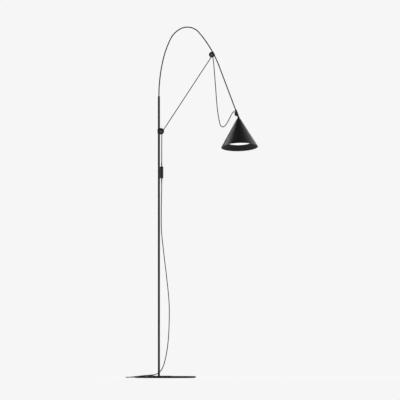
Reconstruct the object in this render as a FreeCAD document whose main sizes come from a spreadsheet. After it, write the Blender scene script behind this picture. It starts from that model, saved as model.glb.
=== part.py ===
import FreeCAD, Part

import math
import os
import re

import Sketcher
from FreeCAD import Placement, Rotation, Vector

# Adjustable arm floor lamp, in millimetres, +Z up.  The origin is on the floor, on the axis of the pole.
# The bent rod, the tight cable and the hanging cord lie in the plane y = 0; the head hangs on the +X side.

DIMENSIONS = {
    # base
    "pad_radius": 166.0, "pad_thick": 2.0,
    "plate_radius": 171.0, "plate_thick": 8.0, "plate_edge": 1.6, "plate_shift": 34.0,
    "screw_head_radius": 7.0, "screw_head_thick": 3.0, "screw_radius": 3.0, "screw_length": 30.0,
    "insert_length": 40.0,
    # pole
    "pole_radius": 6.0, "pole_bore": 5.0, "pole_top": 1564.0, "cap_thick": 2.0,
    "bush_bore": 4.05, "bush_length": 20.0, "plug_thick": 8.0,
    # rod
    "rod_radius": 3.3, "rod_foot": 1496.0, "ferrule_radius": 4.0, "ferrule_length": 60.0,
    # clamp on the pole, clamp on the rod
    "low_disc": 18.0, "low_half": 9.0, "low_offset": 11.0, "low_sleeve": 8.2, "low_sleeve_long": 26.0,
    "top_disc": 16.0, "top_half": 7.0, "top_offset": 10.8, "top_sleeve": 5.4, "top_sleeve_long": 22.0,
    "liner_wall": 1.0, "sliding_gap": 0.05, "rim_round": 2.0,
    "stud_radius": 2.0, "stud_inset": 2.2, "nut_radius": 3.6, "nut_thick": 3.2, "nut_inset": 1.5,
    "washer_radius": 5.0, "washer_thick": 0.8,
    "knob_radius": 8.5, "knob_thick": 5.0, "knob_round": 1.8,
    # neck fitting on the rod's end
    "neck_disc": 10.5, "neck_half": 6.4, "neck_offset": 5.0, "neck_drop": 4.0, "neck_sleeve": 5.9,
    "neck_long": 41.0, "neck_overhang": 4.0, "rod_in_neck": 24.0, "chamber_depth": 33.0, "pivot_below": 42.5,
    "neck_bolt_radius": 1.5, "neck_bolt_head": 3.0, "neck_bolt_sink": 1.6,
    "stem_radius": 3.0, "stem_flange": 4.2, "stem_flange_thick": 3.4, "stem_reach": 13.4,
    "tongue_wide": 5.7,
    # tilt joint
    "eye_radius": 4.2, "eye_thick": 5.0, "pin_radius": 1.5, "pin_gap": 0.05, "pin_half": 6.2,
    "ear_thick": 2.4, "ear_gap": 0.3, "knuckle_radius": 8.0, "knuckle_thick": 2.8, "pivot_rise": 8.0,
    "tube_radius": 4.0, "tube_bore": 2.6, "tube_long": 82.0, "tube_proud": 2.3, "head_nut_thick": 4.0,
    # shade and lamp unit
    "rim_radius": 102.5, "crown_radius": 11.0, "shade_tall": 160.0, "shade_wall": 1.7,
    "ring_bore": 64.0, "ring_rise": 24.7, "ring_wall": 1.6,
    "diffuser_radius": 66.0, "diffuser_thick": 2.5, "spacer_tall": 13.0, "spacer_wall": 2.0,
    "board_radius": 60.0, "board_thick": 1.6, "sink_plate": 3.4, "sink_core": 24.0, "sink_tall": 45.0,
    "fin_thick": 1.6, "fin_reach": 14.0, "fin_drop": 8.0,
    # power lead, in-line dimmer and plug
    "cord_radius": 2.5, "dimmer_radius": 9.3, "dimmer_half": 34.0, "dimmer_round": 6.0, "dimmer_wall": 2.0,
    "button_radius": 4.4, "button_hole": 4.6, "button_tall": 6.2, "button_lip": 0.5, "button_proud": 0.7,
    "boot_base": 3.5, "boot_tip": 3.0, "boot_long": 22.0,
    "card_wide": 12.0, "card_thick": 1.6, "card_tall": 50.0, "card_back": 0.5,
    "coil_radius": 30.0, "coil_half_wide": 7.5, "coil_tall": 10.0, "coil_rise": 0.8,
    "tie_wide": 6.0, "tie_wall": 0.7, "tie_slack": 0.2,
    "plug_long": 36.0, "plug_wide": 35.3, "plug_tall": 13.7, "plug_round": 4.0,
    "prong_radius": 2.0, "prong_long": 19.0, "prong_gap": 18.6,
    "plug_boot_base": 4.6, "plug_boot_long": 26.0,
}

# The rod's bend: radius and turn of each arc, one after another, from straight up over to the head.
ROD_ARCS = [(890.0, 13.1), (540.0, 13.0), (126.0, 36.9), (84.0, 76.1), (630.0, 20.2)]
ROD_STRAIGHT = 260.5            # straight stretch from the last arc to the neck fitting
ROD_TO_CLAMP = 144.0            # from the start of the last arc to the clamp on the rod, along the rod
HEAD_AXIS = Vector(0.033, -0.232, -0.972)

# Routes of the cords, as points that each cord bends at.
LOWER_CLAMP = Vector(11.0, 0.0, 1369.0)
TAUT_ROUTE = [(22.0, 0.0, 1371.6), (292.0, 0.0, 1782.9)]
JUMPER_ROUTE = [
    (298.6, 0.0, 1785.4), (300.3, 0.0, 1774.0), (303.0, 0.0, 1754.0), (306.4, 0.0, 1718.0),
    (310.5, 0.0, 1664.0), (315.0, 0.0, 1608.0), (319.0, 0.0, 1552.0), (323.3, 0.0, 1501.0),
    (329.2, 0.0, 1456.0), (336.0, 0.0, 1420.5), (340.3, 0.0, 1402.5), (349.0, 0.0, 1394.0),
    (359.0, 0.0, 1392.5), (369.5, 0.0, 1401.5), (379.5, 0.0, 1417.0), (390.5, 0.0, 1437.0),
    (401.2, 0.0, 1459.5), (407.9, 0.0, 1470.5), (412.0, 0.0, 1476.1), (414.7, 0.0, 1477.6),
    (417.8, 0.0, 1477.5), (420.5, 0.0, 1476.0), (423.6, 0.0, 1470.1),
]
LEAD_ABOVE_DIMMER = [
    (15.9, 0.0, 1359.0), (15.9, 0.0, 1340.0), (15.9, -1.5, 1304.0), (15.7, -4.5, 1258.0),
    (15.5, -6.6, 1222.0), (15.5, -7.0, 1198.0), (15.5, -7.0, 1174.5),
]
LEAD_BELOW_DIMMER = [(15.5, -7.0, 1105.5), (15.5, -7.0, 1082.0), (15.2, -6.9, 1044.0), (14.4, -6.4, 1000.0)]
LEAD_TO_FLOOR = [
    (14.4, -6.4, 999.6), (13.4, -5.6, 950.0), (12.9, -3.8, 900.0), (13.2, -1.0, 850.0), (15.0, 3.0, 800.0),
    (20.7, 9.0, 748.0), (26.3, 17.0, 698.0), (32.1, 27.0, 648.0), (38.4, 39.0, 598.0), (44.0, 52.0, 546.0),
    (50.0, 66.0, 494.0), (55.0, 80.0, 442.0), (57.8, 93.0, 390.0), (57.6, 105.0, 338.0),
    (56.5, 115.0, 286.0), (54.0, 122.0, 234.0), (49.5, 127.0, 184.0), (42.5, 130.0, 136.0),
    (34.0, 132.0, 96.0), (23.0, 133.5, 58.0), (6.0, 134.0, 31.0), (-17.0, 134.0, 20.0),
    (-44.0, 134.0, 16.0), (-74.0, 136.0, 13.6), (-106.0, 143.0, 9.2), (-138.0, 154.0, 5.2),
    (-165.0, 167.0, 2.9), (-182.0, 183.0, 2.6), (-184.0, 204.0, 2.6), (-169.0, 222.0, 2.6),
    (-140.0, 234.0, 2.6), (-103.0, 243.0, 2.7), (-62.0, 249.0, 3.0), (-20.0, 251.0, 3.3), (16.0, 251.0, 3.3),
]
LEAD_TO_PLUG = [
    (28.0, 181.0, 8.3), (14.0, 181.6, 8.1), (0.0, 184.0, 7.3), (-13.0, 186.0, 6.85), (-26.0, 186.0, 6.85),
]
COIL_CENTRE = Vector(35.0, 216.0, 0.0)
PLUG_CENTRE = Vector(-44.0, 186.0, 6.85)
DIMMER_CENTRE = Vector(15.5, -7.0, 1140.0)

UP = Vector(0, 0, 1)
FRONT = Vector(0, -1, 0)
FIN_COUNT = 12                  # fins of the heat sink
THROUGH = 120.0                 # length of a tool that cuts right through a clamp
HALF_REACH = 40.0               # half the width of the boxes that split a clamp in two
SEAM_TURN = 45.0                # turns a collar's seam line away from the seam of the disc that it joins
PARTS_FOLDER = "parts"

doc = FreeCAD.newDocument("floor_lamp")
sheet = doc.addObject("Spreadsheet::Sheet", "sheet")
subparts = []


def fill_sheet():
    for row, (alias, number) in enumerate(DIMENSIONS.items(), start=1):
        sheet.set("A%d" % row, alias)
        sheet.set("B%d" % row, str(number))
        sheet.setAlias("B%d" % row, alias)
    doc.recompute()


def size(alias):
    """A driving dimension, read from the sheet."""
    return float(sheet.get(alias))


def bound(text):
    """An expression in which each word is a cell of the sheet."""
    return re.sub(r"[a-z][a-z_]+", lambda word: "sheet." + word.group(0), str(text))


def number(text):
    """The value that an expression has now."""
    return float(sheet.evalExpression(re.sub(r"sheet\.", "", bound(text))))


def frame_at(origin, z_axis, x_axis):
    """A placement whose own z and x axes point along the given directions."""
    z = Vector(z_axis).normalize()
    x = (x_axis - z * x_axis.dot(z)).normalize()
    return Placement(origin, Rotation(x, z.cross(x), z, "ZXY"))


def keep(part, label, placement=None):
    """Marks an object as a sub-part of the lamp, under its own name and in its place."""
    part.Label = label
    if placement is not None:
        part.Placement = placement
    subparts.append(part)
    return part


# ---- turned pieces ---------------------------------------------------------------------------------------

def corner_points(outline, index):
    """The one or two points of an outline's corner, as expressions, and its rounding."""
    x, y = outline[index][:2]
    if len(outline[index]) == 2:
        return [(x, y)], None
    rounding = outline[index][2]
    points = []
    for other in (outline[index - 1], outline[(index + 1) % len(outline)]):
        step_x = number(other[0]) - number(x)
        step_y = number(other[1]) - number(y)
        if abs(step_x) > abs(step_y):
            points.append(("%s %s (%s)" % (x, "+" if step_x > 0 else "-", rounding), y))
        else:
            points.append((x, "%s %s (%s)" % (y, "+" if step_y > 0 else "-", rounding)))
    return points, rounding


def corner_arc(start, end, corner, rounding):
    """A quarter circle tangent to both sides of the corner, drawn anticlockwise, and if that is end first."""
    centre = start + end - corner
    middle = centre + (corner - centre).normalize() * rounding
    backwards = (start - centre).cross(end - centre).z < 0
    if backwards:
        return Part.Arc(end, middle, start), True
    return Part.Arc(start, middle, end), False


def outline_sides(outline):
    """The straight sides and round corners of an outline, as start, end, corner and rounding expressions."""
    sides = []
    for index, vertex in enumerate(outline):
        points, rounding = corner_points(outline, index)
        after = corner_points(outline, (index + 1) % len(outline))[0][0]
        if rounding is not None:
            sides.append((points[0], points[1], vertex, rounding))
        sides.append((points[-1], after, None, None))
    return sides


def bind(sketch, constraint, text):
    """Adds a constraint and ties its value to the sheet."""
    place = sketch.addConstraint(constraint)
    sketch.setExpression("Constraints[%d]" % place, bound(text))


def draw_outline(sketch, outline):
    """Draws a closed outline and binds every point's coordinates, and every rounding, to the sheet."""
    start_ends = []
    sides = outline_sides(outline)
    for index, (start, end, corner, rounding) in enumerate(sides):
        first = Vector(number(start[0]), number(start[1]), 0)
        last = Vector(number(end[0]), number(end[1]), 0)
        backwards = False
        edge = Part.LineSegment(first, last) if corner is None else None
        if corner is not None:
            sharp = Vector(number(corner[0]), number(corner[1]), 0)
            edge, backwards = corner_arc(first, last, sharp, number(rounding))
        sketch.addGeometry(edge, False)
        start_ends.append((2, 1) if backwards else (1, 2))
        start_end = start_ends[-1][0]
        bind(sketch, Sketcher.Constraint("DistanceX", -1, 1, index, start_end, first.x), start[0])
        bind(sketch, Sketcher.Constraint("DistanceY", -1, 1, index, start_end, first.y), start[1])
        if corner is not None:
            bind(sketch, Sketcher.Constraint("Radius", index, number(rounding)), rounding)
    for index in range(len(sides)):
        following = (index + 1) % len(sides)
        sketch.addConstraint(Sketcher.Constraint(
            "Coincident", index, start_ends[index][1], following, start_ends[following][0]))


def turned(label, outline, placement=None, angle=360.0, sub_part=True):
    """A body of revolution: the outline holds radius and height, and turns round the body's own z axis."""
    body = doc.addObject("PartDesign::Body", label + "_body")
    sketch = body.newObject("Sketcher::SketchObject", label + "_outline")
    plane = [p for p in body.Origin.OriginFeatures if p.Role == "XZ_Plane"][0]
    sketch.AttachmentSupport = (plane, [""])
    sketch.MapMode = "FlatFace"
    draw_outline(sketch, outline)
    doc.recompute()
    turning = body.newObject("PartDesign::Revolution", label + "_turn")
    turning.Profile = sketch
    turning.ReferenceAxis = (sketch, ["V_Axis"])
    turning.Angle = angle
    body.Tip = turning
    doc.recompute()
    if sub_part:
        keep(body, label, placement)
    return body


def ring(label, inner, outer, low, high, placement=None):
    """A plain tube between two radii and two heights."""
    return turned(label, [(inner, low), (outer, low), (outer, high), (inner, high)], placement)


def disc(label, radius, low, high, placement=None):
    return ring(label, 0, radius, low, high, placement)


# ---- primitives and booleans -----------------------------------------------------------------------------

def cylinder(name, radius, height, placement=None):
    piece = doc.addObject("Part::Cylinder", name)
    piece.setExpression("Radius", bound(radius))
    piece.setExpression("Height", bound(height))
    if placement is not None:
        piece.Placement = placement
    doc.recompute()
    return piece


def box(name, length, width, height, placement=None):
    piece = doc.addObject("Part::Box", name)
    for side, text in (("Length", length), ("Width", width), ("Height", height)):
        piece.setExpression(side, bound(text))
    if placement is not None:
        piece.Placement = placement
    doc.recompute()
    return piece


def cut(name, base, tool):
    piece = doc.addObject("Part::Cut", name)
    piece.Base = base
    piece.Tool = tool
    doc.recompute()
    return piece


def fuse(name, pieces):
    piece = doc.addObject("Part::MultiFuse", name)
    piece.Shapes = pieces
    doc.recompute()
    return piece


def common(name, base, tool):
    piece = doc.addObject("Part::Common", name)
    piece.Base = base
    piece.Tool = tool
    doc.recompute()
    return piece


def rounded_edges(name, base, edge_numbers, radius):
    piece = doc.addObject("Part::Fillet", name)
    piece.Base = base
    piece.Edges = [(edge, radius, radius) for edge in edge_numbers]
    doc.recompute()
    return piece


def along(direction, point=Vector(0, 0, 0)):
    """A placement that turns a cylinder's own z axis to the given direction."""
    return Placement(point, Rotation(UP, direction))


# ---- cords and the bent rod ------------------------------------------------------------------------------

def bend(before, corner, after):
    """The arc at a corner of a route, as large as the shorter of its two runs allows, and its radius."""
    way_in = corner - before
    way_out = after - corner
    reach = 0.45 * min(way_in.Length, way_out.Length)
    way_in.normalize()
    way_out.normalize()
    half_turn = way_in.getAngle(way_out) / 2.0
    radius = reach / math.tan(half_turn)
    towards_centre = (way_out - way_in).normalize()
    middle = corner + towards_centre * (radius / math.cos(half_turn) - radius)
    return Part.Arc(corner - way_in * reach, middle, corner + way_out * reach), radius


def route_wire(route):
    points = [Vector(*point) for point in route]
    edges = []
    radii = []
    start = points[0]
    for before, corner, after in zip(points, points[1:], points[2:]):
        arc, radius = bend(before, corner, after)
        edges.append(Part.LineSegment(start, arc.StartPoint).toShape())
        edges.append(arc.toShape())
        radii.append(radius)
        start = arc.EndPoint
    edges.append(Part.LineSegment(start, points[-1]).toShape())
    return Part.Wire(edges), radii


def round_bar(wire, radius):
    """A round bar along a wire of straight and circular edges."""
    first = wire.Edges[0]
    start = first.valueAt(first.FirstParameter)
    heading = first.tangentAt(first.FirstParameter)
    section = Part.Wire(Part.Circle(start, heading, radius).toShape())
    bar = wire.makePipeShell([section], True, False)
    expected = math.pi * radius ** 2 * wire.Length
    if abs(bar.Volume / expected - 1.0) > 0.01:
        raise ValueError("bar volume %.0f, expected %.0f" % (bar.Volume, expected))
    return bar


def cord(label, route):
    wire, radii = route_wire(route)
    tightest = "no bend" if not radii else "tightest bend %.0f mm" % min(radii)
    print("%s: length %.0f mm, %s, radii %s" % (label, wire.Length, tightest, [round(r) for r in radii]))
    piece = doc.addObject("Part::Feature", label + "_tube")
    piece.Shape = round_bar(wire, size("cord_radius"))
    keep(piece, label, Placement())


def turn_right(direction, degrees):
    """A direction in the plane y = 0, turned clockwise as seen from the front."""
    angle = math.radians(degrees)
    return Vector(direction.x * math.cos(angle) + direction.z * math.sin(angle), 0,
                  direction.z * math.cos(angle) - direction.x * math.sin(angle))


def rod_course():
    """The rod's edges, its place and heading at the rod clamp, and its place and heading at the neck."""
    heading = Vector(0, 0, 1)
    here = Vector(0, 0, size("pole_top"))
    edges = [Part.LineSegment(Vector(0, 0, size("rod_foot")), here).toShape()]
    for radius, turn in ROD_ARCS:
        centre = here + turn_right(heading, 90.0) * radius
        spoke = here - centre
        middle = centre + turn_right(spoke, turn / 2.0)
        end = centre + turn_right(spoke, turn)
        part_turn = math.degrees(ROD_TO_CLAMP / radius)
        clamp_place = centre + turn_right(spoke, part_turn)
        clamp_heading = turn_right(heading, part_turn)
        edges.append(Part.Arc(here, middle, end).toShape())
        here = end
        heading = turn_right(heading, turn)
    neck = here + heading * ROD_STRAIGHT
    return edges, clamp_place, clamp_heading, here, neck, heading


# ---- pieces ----------------------------------------------------------------------------------------------

def make_base():
    middle = Placement(Vector(size("plate_shift"), 0, 0), Rotation())
    disc("base_pad", "pad_radius", 0, "pad_thick", middle)
    blank = cylinder("plate_blank", "plate_radius", "plate_thick",
                     Placement(Vector(size("plate_shift"), 0, size("pad_thick")), Rotation()))
    soft = rounded_edges("plate_soft", blank, (1, 3), size("plate_edge"))
    hole = cylinder("plate_hole", "screw_radius + 0.2", "plate_thick * 3")
    sink = cylinder("plate_sink", "screw_head_radius + 0.5", "pad_thick + screw_head_thick + 0.2")
    keep(cut("plate_cut", soft, fuse("plate_tools", [hole, sink])), "base_plate", Placement())
    floor = Placement(Vector(0, 0, size("pad_thick")), Rotation())
    turned("pole_screw", [
        (0, 0), ("screw_head_radius", 0), ("screw_head_radius", "screw_head_thick"),
        ("screw_radius", "screw_head_thick"), ("screw_radius", "screw_length"), (0, "screw_length")], floor)


def make_pole():
    ring("pole_foot_insert", "screw_radius", "pole_bore", "pad_thick + plate_thick",
         "pad_thick + plate_thick + insert_length")
    ring("pole_tube", "pole_bore", "pole_radius", "pad_thick + plate_thick", "pole_top - cap_thick")
    disc("pole_thrust_plug", "pole_bore", "rod_foot - plug_thick - 0.1", "rod_foot - 0.1")
    ring("pole_lower_bush", "bush_bore", "pole_bore", "rod_foot", "rod_foot + bush_length")
    turned("pole_top_bush", [
        ("bush_bore", "pole_top - bush_length"), ("pole_bore", "pole_top - bush_length"),
        ("pole_bore", "pole_top - cap_thick"), ("pole_radius", "pole_top - cap_thick"),
        ("pole_radius", "pole_top", "0.8"), ("bush_bore", "pole_top")])


def make_rod(edges, last_point, neck_end):
    straight = Part.LineSegment(last_point, neck_end).toShape()
    rod = doc.addObject("Part::Feature", "flex_rod_bar")
    rod.Shape = round_bar(Part.Wire(edges + [straight]), size("rod_radius"))
    keep(rod, "flex_rod", Placement())
    ring("rod_ferrule", "rod_radius", "ferrule_radius", "rod_foot", "rod_foot + ferrule_length")


def socket(name, frame, route, from_start):
    """A blind hole for the end of a cord, in the frame of the clamp that holds the cord."""
    points = [Vector(*point) for point in route]
    end, inner = (points[0], points[1]) if from_start else (points[-1], points[-2])
    direction = (inner - end).normalize()
    turn_back = frame.inverse().Rotation
    place = along(turn_back.multVec(direction), frame.inverse().multVec(end))
    return cylinder(name, "cord_radius + 0.1", "low_disc * 2", place)


def halves(prefix, blank, frame, half):
    """Front and rear shell of a clamp: the blank, split at its middle plane."""
    corner = Vector(-HALF_REACH, -HALF_REACH, 0)
    wide = str(2 * HALF_REACH)
    front = box(prefix + "_front_box", wide, wide, half, Placement(corner, Rotation()))
    rear = box(prefix + "_rear_box", wide, wide, half, Placement(corner - UP * number(half), Rotation()))
    keep(common(prefix + "_front_half", blank, front), prefix + "_front_shell", frame)
    keep(common(prefix + "_rear_half", blank, rear), prefix + "_rear_shell", frame)


def clamp_blank(prefix, sizes, bore, sockets):
    """Disc and sleeve in one, with the bore for the bar, the stud's hole, the nut's pocket and the sockets."""
    radius, half, offset, sleeve, sleeve_long = sizes
    plain = cylinder(prefix + "_disc", radius, "%s * 2" % half, Placement(UP * -number(half), Rotation()))
    soft = rounded_edges(prefix + "_disc_soft", plain, (1, 3), size("rim_round"))
    side = Placement(Vector(number(offset), -number(sleeve_long) / 2, 0),
                     Rotation(Vector(1, 0, 0), -90).multiply(Rotation(UP, SEAM_TURN)))
    collar = cylinder(prefix + "_collar", sleeve, sleeve_long, side)
    inside = Placement(Vector(number(offset), -THROUGH / 2, 0), Rotation(Vector(1, 0, 0), -90))
    tools = [
        cylinder(prefix + "_bore", bore, str(THROUGH), inside),
        cylinder(prefix + "_stud_hole", "stud_radius + 0.1", "%s * 2" % half),
        cylinder(prefix + "_nut_pocket", "nut_radius", "nut_thick",
                 Placement(UP * (size("nut_inset") - number(half)), Rotation())),
        cylinder(prefix + "_stud_end", "stud_radius + 0.1", "%s - 1" % half,
                 Placement(UP * -(number(half) - 1.0), Rotation())),
    ]
    solid = fuse(prefix + "_solid", [soft, collar])
    return cut(prefix + "_blank", solid, fuse(prefix + "_tools", tools + sockets))


def make_clamp(prefix, frame, sizes, bar_radius, sockets):
    half, offset, sleeve_long = sizes[1], sizes[2], sizes[4]
    blank = clamp_blank(prefix, sizes, "%s + sliding_gap + liner_wall" % bar_radius, sockets)
    halves(prefix, blank, frame, half)
    side = Placement(Vector(number(offset), 0, 0), Rotation(Vector(1, 0, 0), -90))
    ring(prefix + "_liner", "%s + sliding_gap" % bar_radius, "%s + sliding_gap + liner_wall" % bar_radius,
         "%s * -0.5" % sleeve_long, "%s * 0.5" % sleeve_long, frame.multiply(side))
    ring(prefix + "_nut", "stud_radius", "nut_radius", "nut_inset - %s" % half,
         "nut_inset - %s + nut_thick" % half, frame)
    ring(prefix + "_washer", "stud_radius + 0.3", "washer_radius", half, "%s + washer_thick" % half, frame)
    face = "%s + washer_thick + 0.2" % half
    turned(prefix + "_knob", [
        ("stud_radius", face), ("knob_radius", face, "0.6"),
        ("knob_radius", face + " + knob_thick", "knob_round"),
        (0, face + " + knob_thick"), (0, face + " + knob_thick * 0.6"),
        ("stud_radius", face + " + knob_thick * 0.6")], frame)
    disc(prefix + "_stud", "stud_radius - 0.05", "stud_inset - %s" % half, face + " + knob_thick * 0.6", frame)


def make_neck(frame):
    """The fitting on the rod's end.  Its own x axis points from the disc to the rod, y runs up the rod."""
    disc_middle = Vector(0, -size("neck_drop"), 0)
    plain = cylinder("neck_disc_plain", "neck_disc", "neck_half * 2",
                     Placement(disc_middle - UP * size("neck_half"), Rotation()))
    soft = rounded_edges("neck_disc_soft", plain, (1, 3), size("rim_round"))
    down = Rotation(Vector(1, 0, 0), 90).multiply(Rotation(UP, SEAM_TURN))
    top = Vector(size("neck_offset"), size("neck_long") / 2, 0)
    collar = cylinder("neck_collar", "neck_sleeve", "neck_long", Placement(top, down))
    chamber = top - Vector(0, size("chamber_depth"), 0)
    bolt_end = disc_middle - UP * (size("neck_half") - 2.0)
    bolt_seat = disc_middle + UP * (size("neck_half") - size("neck_bolt_sink"))
    tools = [
        cylinder("neck_rod_bore", "rod_radius", "30", Placement(top + Vector(0, 1, 0), down)),
        cylinder("neck_chamber", "stem_flange + 0.1", "stem_flange_thick + 0.2", Placement(chamber, down)),
        cylinder("neck_stem_bore", "stem_radius + 0.05", "20", Placement(chamber, down)),
        cylinder("neck_screw_hole", "neck_bolt_radius", "neck_half * 2", Placement(bolt_end, Rotation())),
        cylinder("neck_screw_seat", "neck_bolt_head + 0.2", "4", Placement(bolt_seat, Rotation())),
        socket("neck_cord_hole", frame, JUMPER_ROUTE, False),
    ]
    blank = cut("neck_blank", fuse("neck_solid", [soft, collar]), fuse("neck_tools", tools))
    halves("neck", blank, frame, "neck_half")
    seat = "neck_half - neck_bolt_sink"
    turned("neck_screw", [
        (0, "stud_inset - neck_half"), ("neck_bolt_radius", "stud_inset - neck_half"),
        ("neck_bolt_radius", seat), ("neck_bolt_head", seat), ("neck_bolt_head", "neck_half + 0.4", "0.8"),
        (0, "neck_half + 0.4")], frame.multiply(Placement(disc_middle, Rotation())))


def make_stem(rod_heading, pivot, pin_axis):
    """The swivel stem: a flange inside the neck, a shaft, and an eye for the tilt pin."""
    frame = frame_at(pivot, rod_heading, pin_axis)
    low = "-stem_reach"
    shank = turned("stem_shank", [
        (0, low), ("stem_flange", low), ("stem_flange", low + " + stem_flange_thick"),
        ("stem_radius", low + " + stem_flange_thick"), ("stem_radius", "-eye_radius - 0.4"),
        (0, "-eye_radius - 0.4")], sub_part=False)
    tongue_corner = Vector(-size("eye_thick") / 2, -size("tongue_wide") / 2, -size("eye_radius") - 0.8)
    tongue = box("stem_tongue", "eye_thick", "tongue_wide", "eye_radius + 0.8",
                 Placement(tongue_corner, Rotation()))
    across = Placement(Vector(-size("eye_thick") / 2, 0, 0), Rotation(UP, Vector(1, 0, 0)))
    eye = cylinder("stem_eye", "eye_radius", "eye_thick", across)
    hole = cylinder("stem_hole", "pin_radius + pin_gap", "20",
                    Placement(Vector(-10, 0, 0), Rotation(UP, Vector(1, 0, 0))))
    keep(cut("stem_cut", fuse("stem_solid", [shank, tongue, eye]), hole), "swivel_stem", frame)


def make_knuckle(frame):
    """The fork on top of the shade, with its pin.  z runs up the shade's axis, x along the pin."""
    across = Rotation(UP, Vector(1, 0, 0))
    foot = cylinder("knuckle_foot", "knuckle_radius", "knuckle_thick",
                    Placement(UP * -size("pivot_rise"), Rotation()))
    inner = size("eye_thick") / 2 + size("ear_gap")
    pieces = [foot]
    for side, start in (("left", -inner - size("ear_thick")), ("right", inner)):
        pieces.append(cylinder("ear_" + side, "eye_radius", "ear_thick", Placement(Vector(start, 0, 0), across)))
        post = Vector(start, -size("eye_radius"), size("knuckle_thick") - size("pivot_rise") - 0.5)
        pieces.append(box("ear_post_" + side, "ear_thick", "eye_radius * 2",
                          "pivot_rise - knuckle_thick + 0.5", Placement(post, Rotation())))
    tools = [
        cylinder("knuckle_pin_hole", "pin_radius", "20", Placement(Vector(-10, 0, 0), across)),
        cylinder("knuckle_bore", "tube_radius", "knuckle_thick * 3", Placement(UP * -14.0, Rotation())),
    ]
    keep(cut("knuckle_cut", fuse("knuckle_solid", pieces), fuse("knuckle_tools", tools)), "head_knuckle", frame)
    keep(cylinder("tilt_pin_bar", "pin_radius", "pin_half * 2"), "tilt_pin",
         frame.multiply(Placement(Vector(-size("pin_half"), 0, 0), across)))


def make_shade(frame):
    """Shade and lamp unit.  The frame's origin is the middle of the rim, z runs up the shade's axis."""
    turned("shade_cone", [
        ("tube_radius + 0.1", "shade_tall - shade_wall"), ("crown_radius - 0.9", "shade_tall - shade_wall"),
        ("rim_radius - shade_wall", 0), ("rim_radius", 0), ("crown_radius", "shade_tall"),
        ("tube_radius + 0.1", "shade_tall")], frame)
    turned("anti_glare_ring", [
        ("rim_radius - 4.4", "0.6"), ("rim_radius - 3.0", "0.6"), ("rim_radius - 3.0", "1.8"),
        ("ring_bore + 1.6", "ring_rise + ring_wall"), ("ring_bore", "ring_rise + ring_wall"),
        ("ring_bore", "ring_rise")], frame)
    low = "ring_rise + ring_wall + 0.2"
    disc("diffuser", "diffuser_radius", low, low + " + diffuser_thick", frame)
    board = low + " + diffuser_thick + spacer_tall"
    ring("light_box_spacer", "diffuser_radius - 2 - spacer_wall", "diffuser_radius - 2",
         low + " + diffuser_thick", board, frame)
    disc("led_board", "board_radius", board, board + " + board_thick", frame)
    sink = board + " + board_thick"
    make_heat_sink(sink, frame)
    ring("head_tube", "tube_bore", "tube_radius", "shade_tall + tube_proud - tube_long",
         "shade_tall + tube_proud", frame)
    ring("head_nut", "tube_radius", "tube_radius * 2 - 1", "shade_tall - shade_wall - head_nut_thick",
         "shade_tall - shade_wall", frame)


def make_heat_sink(low, frame):
    """A plate, a core and fins round the core."""
    core = turned("sink_core_turn", [
        (0, low), ("board_radius", low), ("board_radius", low + " + sink_plate"),
        ("sink_core", low + " + sink_plate"), ("sink_core", low + " + sink_tall"), (0, low + " + sink_tall")],
        sub_part=False)
    pieces = [core]
    for index in range(FIN_COUNT):
        turn = Rotation(UP, 360.0 / FIN_COUNT * index)
        corner = turn.multVec(Vector(0, -size("fin_thick") / 2, number(low)))
        pieces.append(box("sink_fin_%d" % index, "sink_core + fin_reach", "fin_thick", "sink_tall - fin_drop",
                          Placement(corner, turn)))
    bore = cylinder("sink_bore", "tube_radius", "40",
                    Placement(UP * (number("shade_tall + tube_proud - tube_long")), Rotation()))
    keep(cut("sink_cut", fuse("sink_solid", pieces), bore), "heat_sink", frame)


def make_dimmer():
    frame = Placement(DIMMER_CENTRE, Rotation())
    outline = [
        ("cord_radius", "-dimmer_half"), ("dimmer_radius", "-dimmer_half", "dimmer_round"),
        ("dimmer_radius", "dimmer_half", "dimmer_round"), ("cord_radius", "dimmer_half"),
        ("cord_radius", "dimmer_half - dimmer_wall"),
        ("dimmer_radius - dimmer_wall", "dimmer_half - dimmer_wall", "dimmer_round - dimmer_wall"),
        ("dimmer_radius - dimmer_wall", "dimmer_wall - dimmer_half", "dimmer_round - dimmer_wall"),
        ("cord_radius", "dimmer_wall - dimmer_half")]
    half = turned("dimmer_half", outline, angle=180.0, sub_part=False)
    half_back = turned("dimmer_back", outline, angle=180.0, sub_part=False)
    front_turn = Rotation(UP, 0 if half.Shape.Solids[0].CenterOfMass.y < 0 else 180)
    half.Placement = Placement(Vector(0, 0, 0), front_turn)
    hole = cylinder("dimmer_hole", "button_hole", "20", along(FRONT))
    keep(cut("dimmer_front_cut", half, hole), "dimmer_front_shell", frame)
    back_turn = Rotation(UP, 0 if half_back.Shape.Solids[0].CenterOfMass.y > 0 else 180)
    keep(half_back, "dimmer_rear_shell", Placement(DIMMER_CENTRE, back_turn))
    high = "dimmer_radius + button_proud"
    low = high + " - button_tall"
    turned("dimmer_button", [
        (0, low), ("button_radius + button_lip", low), ("button_radius + button_lip", low + " + 0.8"),
        ("button_radius", low + " + 0.8"), ("button_radius", high, "0.8"), (0, high)],
        Placement(DIMMER_CENTRE, Rotation(UP, FRONT)))
    card_corner = Vector(-size("card_wide") / 2, size("card_back"), -size("card_tall") / 2)
    keep(box("dimmer_board_box", "card_wide", "card_thick", "card_tall"), "dimmer_board",
         Placement(DIMMER_CENTRE + card_corner, Rotation()))
    for label, turn in (("dimmer_top_boot", 0), ("dimmer_bottom_boot", 180)):
        place = Placement(DIMMER_CENTRE, Rotation(Vector(1, 0, 0), turn))
        turned(label, [
            ("cord_radius", "dimmer_half"), ("boot_base", "dimmer_half"),
            ("boot_tip", "dimmer_half + boot_long"), ("cord_radius", "dimmer_half + boot_long")], place)


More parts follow.
